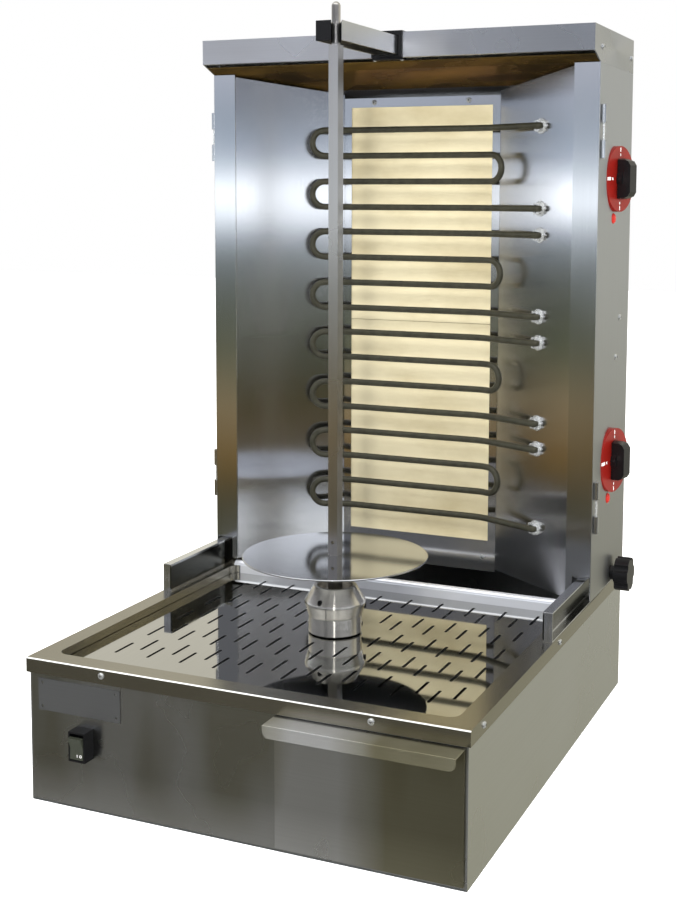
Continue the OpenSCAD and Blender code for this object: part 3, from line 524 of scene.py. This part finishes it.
def tube(name, points, radius, material, body, resolution=5):
    """A round rod along a line of points."""
    curve = bpy.data.curves.new(name, "CURVE")
    curve.dimensions = "3D"
    curve.bevel_depth = radius
    curve.bevel_resolution = resolution
    curve.use_fill_caps = True
    spline = curve.splines.new("POLY")
    spline.points.add(len(points) - 1)
    for point, p in zip(spline.points, points):
        point.co = (*p, 1)
    return add_object(name, curve, material, body)


def half_turn(start, out, drop, steps=10):
    """Points of a half circle in a vertical plane that bulges along out and ends below."""
    r = drop / 2
    centre = start - Vector((0, 0, r))
    return [centre + out * (r * math.sin(a)) + Vector((0, 0, r * math.cos(a)))
            for a in (math.pi * i / steps for i in range(steps + 1))]


def element_points(node):
    """The centre line of one element, worked out from the CAD node's own box."""
    low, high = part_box(node)
    top = high.z - TUBE_R
    pass_y = high.y - TUBE_R
    wing_low, wing_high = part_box("wing_right")
    run = Vector((wing_low.x - wing_high.x, wing_high.y - wing_low.y, 0)).normalized()
    facing = Vector((-run.y, -run.x, 0))
    if facing.y > 0:
        facing = -facing
    left = Vector((BEND_LEFT_X, pass_y, 0))
    right = Vector((BEND_RIGHT_X, pass_y, 0))
    far_left = LEFT_REACH - OUT_LEFT * (PASS_PITCH / 2)
    far_right = RIGHT_REACH - OUT_RIGHT * (PASS_PITCH / 2)
    points = []

    def at(p, z):
        return Vector((p.x, p.y, z))

    # One pass of the tube at height z, through the places of plan with its corners rounded
    def leg(*plan, z):
        points.extend(round_corners([at(p, z) for p in plan], PLAN_BEND))

    stub_in = TERMINAL + facing * STUB_IN
    stub_out = TERMINAL - facing * STUB_OUT
    leg(stub_out, stub_in, right, left, far_left, z=top)
    points.extend(half_turn(at(far_left, top), OUT_LEFT, PASS_PITCH))
    leg(far_left, left, right, far_right, z=top - PASS_PITCH)
    points.extend(half_turn(at(far_right, top - PASS_PITCH), OUT_RIGHT, PASS_PITCH))
    leg(far_right, right, left, far_left, z=top - 2 * PASS_PITCH)
    points.extend(half_turn(at(far_left, top - 2 * PASS_PITCH), OUT_LEFT, PASS_PITCH))
    leg(far_left, left, right, stub_in, stub_out, z=top - 3 * PASS_PITCH)
    # Points that all but coincide, where a pass meets a turn, would pinch the tube
    clean = [points[0]]
    for p in points[1:]:
        if (p - clean[-1]).length > MIN_STEP:
            clean.append(p)
    return clean


for number in (1, 2, 3, 4):
    node = f"element_{number}"
    rod = tube(f"{node}_tube", element_points(node), TUBE_R, MATERIALS["sheath"],
               "tower")
    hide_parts(node)


# ---------- small details ----------


def islands(node):
    """The lowest and highest corner of each separate solid in a CAD node."""
    bm = bmesh.new()
    bm.from_mesh(nodes[node].data)
    bmesh.ops.remove_doubles(bm, verts=bm.verts, dist=WELD)
    left = set(bm.verts)
    boxes = []
    while left:
        stack, group = [left.pop()], []
        while stack:
            vert = stack.pop()
            group.append(vert.co.copy())
            for edge in vert.link_edges:
                other = edge.other_vert(vert)
                if other in left:
                    left.remove(other)
                    stack.append(other)
        boxes.append((Vector([min(c[i] for c in group) for i in range(3)]),
                      Vector([max(c[i] for c in group) for i in range(3)])))
    bm.free()
    return sorted(boxes, key=lambda box: tuple(box[0]))


def nearest_side(low, high, box_low, box_high):
    """The outward direction of the side of a box that a small solid reaches."""
    gaps = [(low.x - box_low.x, (-1, 0, 0)), (box_high.x - high.x, (1, 0, 0)),
            (low.y - box_low.y, (0, -1, 0)), (box_high.y - high.y, (0, 1, 0))]
    return Vector(min(gaps)[1])


# White marks on the dials, set out in each dial's own plane. Each mark is given by its turn
# in degrees, the radii between which it runs, and its width, in millimetres.
DIAL_TILT = math.radians(-10.5)
DIAL_FACE = 7.6 * MM
DIAL_R = 39.5 * MM
MARKS = [(0, 32.5, 37.5, 1.7), (0, 27.5, 30.8, 1.7), (180, 32.5, 37.5, 1.7),
         (180, 27.5, 30.8, 1.7), (90, 27.0, 36.5, 3.8), (90, 20.5, 23.0, 3.2),
         (270, 27.0, 36.5, 3.8), (270, 20.5, 23.0, 3.2)]
MARK_DEPTH = 0.3 * MM
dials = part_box("dial_plates")
dial_y = (dials[0].y + dials[1].y) / 2
for name, z in (("upper", dials[1].z - DIAL_R), ("lower", dials[0].z + DIAL_R)):
    marks = bpy.data.meshes.new(f"{name}_dial_marks")
    bm = bmesh.new()
    for turn, inner, outer, width in MARKS:
        made = bmesh.ops.create_cube(bm, size=1.0)["verts"]
        bmesh.ops.scale(bm, verts=made, vec=(MARK_DEPTH, width * MM, (outer - inner) * MM))
        bmesh.ops.translate(bm, verts=made, vec=(0, 0, (inner + outer) / 2 * MM))
        bmesh.ops.rotate(bm, verts=made, cent=(0, 0, 0),
                         matrix=Matrix.Rotation(math.radians(turn), 3, "X"))
    bm.to_mesh(marks)
    bm.free()
    obj = add_object(f"{name}_dial_marks", marks, MATERIALS["white"], "tower")
    across = Vector((DIAL_FACE, 0, 0))
    across.rotate(Matrix.Rotation(DIAL_TILT, 3, "Z"))
    obj.location = Vector((PANEL_X, dial_y, z)) + across
    obj.rotation_euler = (0, 0, DIAL_TILT)

# A ring and a bar on the lower half of the rocker, which is tilted at rest
joint = next(j for j in record["behaviour"]["joints"] if j["name"] == "rocker_tilt")
pivot = Vector(joint["pos_m"])
tilt = Matrix.Rotation(math.radians(9.0), 3, "X")
foot, middle = Vector((0, -8.5, -11.8)) * MM, Vector((0, -6.0, 0)) * MM
slope = (middle - foot).normalized()
RING_R, RING_X, RING_UP, RING_POINTS = 1.25, 3.0, 4.2, 24
BAR_X, BAR_FROM, BAR_TO = -1.2, 2.8, 5.6
ring = bpy.data.curves.new("off_mark", "CURVE")
ring.dimensions = "3D"
ring.bevel_depth = 0.28 * MM
ring.bevel_resolution = 2
off_mark = ring.splines.new("POLY")
off_mark.points.add(RING_POINTS - 1)
off_mark.use_cyclic_u = True
for index, point in enumerate(off_mark.points):
    angle = 2 * math.pi * index / RING_POINTS
    around = slope * (RING_UP + RING_R * math.sin(angle))
    around += Vector((RING_X + RING_R * math.cos(angle), 0, 0))
    point.co = (*(pivot + tilt @ (foot + around * MM)), 1)
add_object("rocker_off_mark", ring, MATERIALS["white"], "rocker")
bar_points = [pivot + tilt @ (foot + slope * h * MM + Vector((BAR_X * MM, 0, 0)))
              for h in (BAR_FROM, BAR_TO)]
tube("rocker_on_mark", bar_points, 0.32 * MM, MATERIALS["white"], "rocker", 2)

# Cross recesses in the screw heads: shallow black crosses, painted shade for the dark of the
# hollows
CROSS_SIZE = (2.6 * MM, 0.55 * MM, 0.5 * MM)
CROSS_SINK = 0.15 * MM
CROSS_TURNS = (20, 110)
for node, outward in (("surround_screws", None), ("canopy_screws", None),
                      ("frame_screws", Vector((0, -1, 0))), ("side_screws", Vector((1, 0, 0)))):
    mesh = bpy.data.meshes.new(f"{node}_recesses")
    bm = bmesh.new()
    for low, high in islands(node):
        face = outward or nearest_side(low, high, *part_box(node))
        centre = (low + high) / 2
        reach = Vector([(high - low)[i] / 2 * face[i] for i in range(3)])
        spin = face.to_track_quat("Z", "Y").to_matrix()
        for turn in CROSS_TURNS:
            made = bmesh.ops.create_cube(bm, size=1.0)["verts"]
            bmesh.ops.scale(bm, verts=made, vec=CROSS_SIZE)
            bmesh.ops.rotate(bm, verts=made, cent=(0, 0, 0),
                             matrix=spin @ Matrix.Rotation(math.radians(turn), 3, "Z"))
            bmesh.ops.translate(bm, verts=made, vec=centre + reach - face * CROSS_SINK)
    bm.to_mesh(mesh)
    bm.free()
    add_object(f"{node}_recesses", mesh, MATERIALS["recess"], body_of_node[node])


# ---------- stage, light and camera ----------

FLOOR_R = 8
floor_mesh = bpy.data.meshes.new("floor")
corners = [(x * FLOOR_R, y * FLOOR_R, 0) for x, y in ((-1, -1), (1, -1), (1, 1), (-1, 1))]
floor_mesh.from_pydata(corners, [], [(0, 1, 2, 3)])
floor = bpy.data.objects.new("floor", floor_mesh)
bpy.context.scene.collection.objects.link(floor)
floor.location.z = -0.5 * MM
floor_mat, _, floor_shader, _ = new_material("pale_floor")
floor_shader.inputs["Base Color"].default_value = (0.93, 0.93, 0.93, 1)
floor_shader.inputs["Roughness"].default_value = 0.9
floor_shader.inputs["Emission Color"].default_value = (1, 1, 1, 1)
floor_shader.inputs["Emission Strength"].default_value = 0.72
floor_mesh.materials.append(floor_mat)
floor.visible_glossy = False

# Colours of the studio by elevation in degrees: in front, to the right and behind
STUDIO_LOW = [(-90, (0.24, 0.24, 0.24)), (-34, (0.21, 0.21, 0.20)), (-27, (0.14, 0.14, 0.125)),
              (-22, (0.125, 0.12, 0.105)), (-17, (0.105, 0.10, 0.08))]
STUDIO_BAND = [(-4.3, (0.11, 0.12, 0.09)), (-3.1, (0.14, 0.16, 0.15)),
               (-1.9, (0.22, 0.26, 0.28)), (-1.1, (0.80, 0.90, 1.08)),
               (-0.6, (2.2, 2.3, 2.4)), (0.6, (2.2, 2.3, 2.4)), (1.1, (0.50, 0.60, 0.76))]
STUDIO_HIGH = [(27, (0.22, 0.22, 0.24)), (40, (0.7, 0.72, 0.75)), (55, (1.7, 1.7, 1.7)),
               (75, (1.7, 1.7, 1.7)), (90, (0.9, 0.88, 0.85))]
STUDIO_FRONT = STUDIO_LOW + [
    (-14.5, (0.09, 0.095, 0.07)), (-12.7, (0.045, 0.05, 0.03)), (-10.8, (0.20, 0.12, 0.035)),
    (-8.7, (0.30, 0.23, 0.13)), (-6.4, (0.11, 0.125, 0.075)), *STUDIO_BAND,
    (3.2, (0.40, 0.47, 0.56)), (4.9, (0.62, 0.66, 0.78)), (7.4, (0.98, 1.0, 1.12)),
    (10, (0.28, 0.29, 0.32)), *STUDIO_HIGH]
STUDIO_RIGHT = STUDIO_LOW + [
    (-13.2, (0.20, 0.20, 0.20)), (-9.6, (0.10, 0.075, 0.035)), (-7.0, (0.04, 0.045, 0.02)),
    *STUDIO_BAND, (3.2, (0.28, 0.32, 0.38)), (5, (0.17, 0.18, 0.22)), (9, (0.20, 0.21, 0.24)),
    (11.6, (0.60, 0.64, 0.74)), (12.8, (1.3, 1.4, 1.6)), (13.5, (2.4, 2.5, 2.6)),
    (14.3, (2.4, 2.5, 2.6)), (15.0, (0.70, 0.73, 0.80)), (15.7, (0.35, 0.36, 0.40)),
    (19.5, (0.28, 0.28, 0.29)), *STUDIO_HIGH]
STUDIO_BACK = [
    (-90, (0.26, 0.26, 0.24)), (-25, (0.36, 0.35, 0.26)), (-5, (0.58, 0.57, 0.49)),
    (5, (0.60, 0.59, 0.51)), (15, (0.72, 0.69, 0.60)), (26, (0.80, 0.77, 0.66)),
    (45, (0.36, 0.34, 0.28)), (90, (0.34, 0.31, 0.25)),
]


def studio_ramp(tree, fac, stops):
    """The colours of one part of the studio, by the sine of the elevation from 0 to 1."""
    node = tree.nodes.new("ShaderNodeValToRGB")
    elements = node.color_ramp.elements
    while len(elements) < len(stops):
        elements.new(1.0)
    # All places come before the colours, because a stop that moves can change the order
    for element, (degrees, _) in zip(elements, stops):
        element.position = (math.sin(math.radians(degrees)) + 1) / 2
    for element, (_, colour) in zip(elements, stops):
        element.color = (*colour, 1)
    tree.links.new(fac, node.inputs["Fac"])
    return node.outputs["Color"]


world = bpy.data.worlds.new("studio")
bpy.context.scene.world = world
world.use_nodes = True
sky = world.node_tree
background = sky.nodes["Background"]
direction = sky.nodes.new("ShaderNodeTexCoord").outputs["Generated"]
split = sky.nodes.new("ShaderNodeSeparateXYZ")
sky.links.new(direction, split.inputs[0])
height = sky.nodes.new("ShaderNodeMapRange")
height.inputs["From Min"].default_value = -1.0
sky.links.new(split.outputs["Z"], height.inputs["Value"])
# Each part of the studio takes over as one component of the direction rises past two values
sides = (("X", 0.45, 0.60, STUDIO_RIGHT), ("Y", 0.05, 0.35, STUDIO_BACK))
studio = studio_ramp(sky, height.outputs["Result"], STUDIO_FRONT)
for axis, start, end, stops in sides:
    blend = sky.nodes.new("ShaderNodeMix")
    blend.data_type = "RGBA"
    sky.links.new(ramp(sky, split.outputs[axis], 0.0, 1.0, start, end), blend.inputs["Factor"])
    sky.links.new(studio, blend.inputs["A"])
    sky.links.new(studio_ramp(sky, height.outputs["Result"], stops), blend.inputs["B"])
    studio = blend.outputs["Result"]
# Broad patches of light and dark, and a white backdrop for the camera alone
patches = ramp(sky, noise(sky, direction, (2.6, 2.6, 1.0), 2.0), 0.72, 1.28, 0.35, 0.65)
patchy = sky.nodes.new("ShaderNodeVectorMath")
patchy.operation = "SCALE"
sky.links.new(studio, patchy.inputs[0])
sky.links.new(patches, patchy.inputs["Scale"])
seen = sky.nodes.new("ShaderNodeLightPath")
backdrop = sky.nodes.new("ShaderNodeMix")
backdrop.data_type = "RGBA"
backdrop.inputs["B"].default_value = (1, 1, 1, 1)
sky.links.new(seen.outputs["Is Camera Ray"], backdrop.inputs["Factor"])
sky.links.new(patchy.outputs["Vector"], backdrop.inputs["A"])
sky.links.new(backdrop.outputs["Result"], background.inputs["Color"])


def softbox(name, position, target, size, power, glossy=False):
    """A rectangular lamp aimed at target, which shows in reflections only if glossy."""
    light = bpy.data.lights.new(name, "AREA")
    light.shape = "RECTANGLE"
    light.size, light.size_y = size
    light.energy = power
    obj = bpy.data.objects.new(name, light)
    bpy.context.scene.collection.objects.link(obj)
    obj.location = position
    aim = Vector(target) - Vector(position)
    obj.rotation_euler = aim.to_track_quat("-Z", "Y").to_euler()
    obj.visible_glossy = glossy
    return obj


softbox("key", (0.7, -2.2, 2.2), (0, 0, 0.4), (0.9, 0.9), 42)
softbox("fill", (-2.4, -1.2, 1.4), (0, 0, 0.4), (1.6, 1.6), 26)
softbox("top", (0.0, 0.6, 2.8), (0, 0, 0.0), (2.4, 2.4), 40)
softbox("side", (2.6, 0.8, 1.2), (0.2, 0, 0.4), (1.6, 1.6), 24)
softbox("flash", (0.55, -1.96, 0.9), (0, 0, 0.4), (0.16, 0.16), 15)
softbox("strip", (0.78, -2.05, 0.8), (0, 0, 0.3), (0.09, 1.5), 3.0, glossy=True)

# The camera, fitted to the outlines of the object
CAMERA_AT = (0.6469, -1.4529, 0.6449)
LENS, SENSOR = 54.57, 36.0
SHIFT_X, SHIFT_Y = -0.0406, -0.1326
YAW, PITCH, ROLL = math.radians(-23.31), math.radians(-5.59), math.radians(0.25)
forward = Vector((math.sin(YAW) * math.cos(PITCH), math.cos(YAW) * math.cos(PITCH),
                  math.sin(PITCH)))
level = Vector((math.cos(YAW), -math.sin(YAW), 0))
upright = level.cross(forward)
right = level * math.cos(ROLL) + upright * math.sin(ROLL)
up = upright * math.cos(ROLL) - level * math.sin(ROLL)
camera_data = bpy.data.cameras.new("camera")
camera_data.lens = LENS
camera_data.sensor_width = SENSOR
camera_data.shift_x = SHIFT_X
camera_data.shift_y = SHIFT_Y
camera = bpy.data.objects.new("camera", camera_data)
bpy.context.scene.collection.objects.link(camera)
turn = Matrix((right, up, -forward)).transposed().to_4x4()
camera.matrix_world = Matrix.Translation(CAMERA_AT) @ turn
bpy.context.scene.camera = camera
bpy.context.scene.view_settings.view_transform = "Standard"
